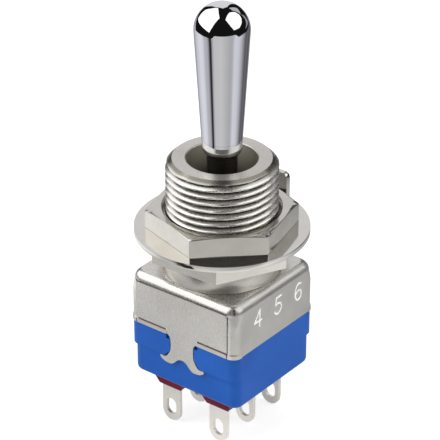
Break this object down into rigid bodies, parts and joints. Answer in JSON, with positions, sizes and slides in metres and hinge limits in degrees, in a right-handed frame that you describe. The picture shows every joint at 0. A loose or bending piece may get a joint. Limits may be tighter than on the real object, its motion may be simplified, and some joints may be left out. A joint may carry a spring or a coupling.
{
  "type": "panel toggle switch",
  "caption": "Panel-mounted toggle switch with a chromed bat lever, threaded bushing, hexagon nuts, tabbed locking ring, folded metal cover, blue moulded case and slotted solder lugs.",
  "frame": {"origin": "on the bushing's axis, in the panel plane: the front face of the locking ring, where the panel's rear face lies", "axes": "+Z along the bushing and the centred lever, out of the panel; the lever swings in the XZ plane and each row of three lugs runs along X"},
  "size_m": [0.0186, 0.0184, 0.0483],
  "materials": {
    "plated_brass": "nickel plate on turned brass",
    "plated_nut": "nickel plate on brass",
    "plated_ring": "polished nickel plate on stamped steel",
    "chromed_lever": "mirror chrome on turned brass",
    "steel_pin": "bright ground steel",
    "plated_cover": "satin nickel plate on folded steel sheet",
    "blue_moulding": "moulded thermoset, slight gloss",
    "dark_red_resin": "cast sealing resin",
    "tinned_lug": "tinned brass",
    "black_moulding": "moulded black",
    "white_moulding": "moulded natural white",
    "spring_wire": "bright spring wire",
    "contact_strip": "silver plate on brass strip"
  },
  "bodies": {
    "base": {"bushing": "plated_brass", "front_nut": "plated_nut", "locking_ring": "plated_ring", "rear_nut": "plated_nut", "pivot_pin": "steel_pin", "cover": "plated_cover", "case": "blue_moulding", "potting": "dark_red_resin", "terminal_1": "tinned_lug", "terminal_2": "tinned_lug", "terminal_3": "tinned_lug", "terminal_4": "tinned_lug", "terminal_5": "tinned_lug", "terminal_6": "tinned_lug"},
    "lever": {"lever": "chromed_lever", "actuator": "black_moulding", "spring_a": "spring_wire", "spring_b": "spring_wire"},
    "plunger_a": {"plunger_a": "white_moulding"},
    "plunger_b": {"plunger_b": "white_moulding"},
    "rocker_a": {"rocker_a": "contact_strip"},
    "rocker_b": {"rocker_b": "contact_strip"}
  },
  "joints": [
    {"name": "lever_pivot", "type": "hinge", "parent": "base", "child": "lever", "pos_m": [0, 0, -0.00045], "axis": [0, 1, 0], "range_deg": [-13, 13]},
    {"name": "plunger_a_slide", "type": "slide", "parent": "lever", "child": "plunger_a", "axis": [0, 0, 1], "range_m": [0, 0.0008], "stiffness_N_per_m": 300, "springref_m": -0.0012, "deforming": ["spring_a"]},
    {"name": "plunger_b_slide", "type": "slide", "parent": "lever", "child": "plunger_b", "axis": [0, 0, 1], "range_m": [0, 0.0008], "stiffness_N_per_m": 300, "springref_m": -0.0012, "deforming": ["spring_b"]},
    {"name": "rocker_a_tilt", "type": "hinge", "parent": "base", "child": "rocker_a", "pos_m": [0, 0.00323, -0.01307], "axis": [0, 1, 0], "range_deg": [-6.9, 6.9]},
    {"name": "rocker_b_tilt", "type": "hinge", "parent": "base", "child": "rocker_b", "pos_m": [0, -0.00323, -0.01307], "axis": [0, 1, 0], "range_deg": [-6.9, 6.9]}
  ],
  "couplings": [
    {"joint": "rocker_a_tilt", "follows": "lever_pivot", "ratio": -0.53077},
    {"joint": "rocker_b_tilt", "follows": "lever_pivot", "ratio": -0.53077}
  ]
}
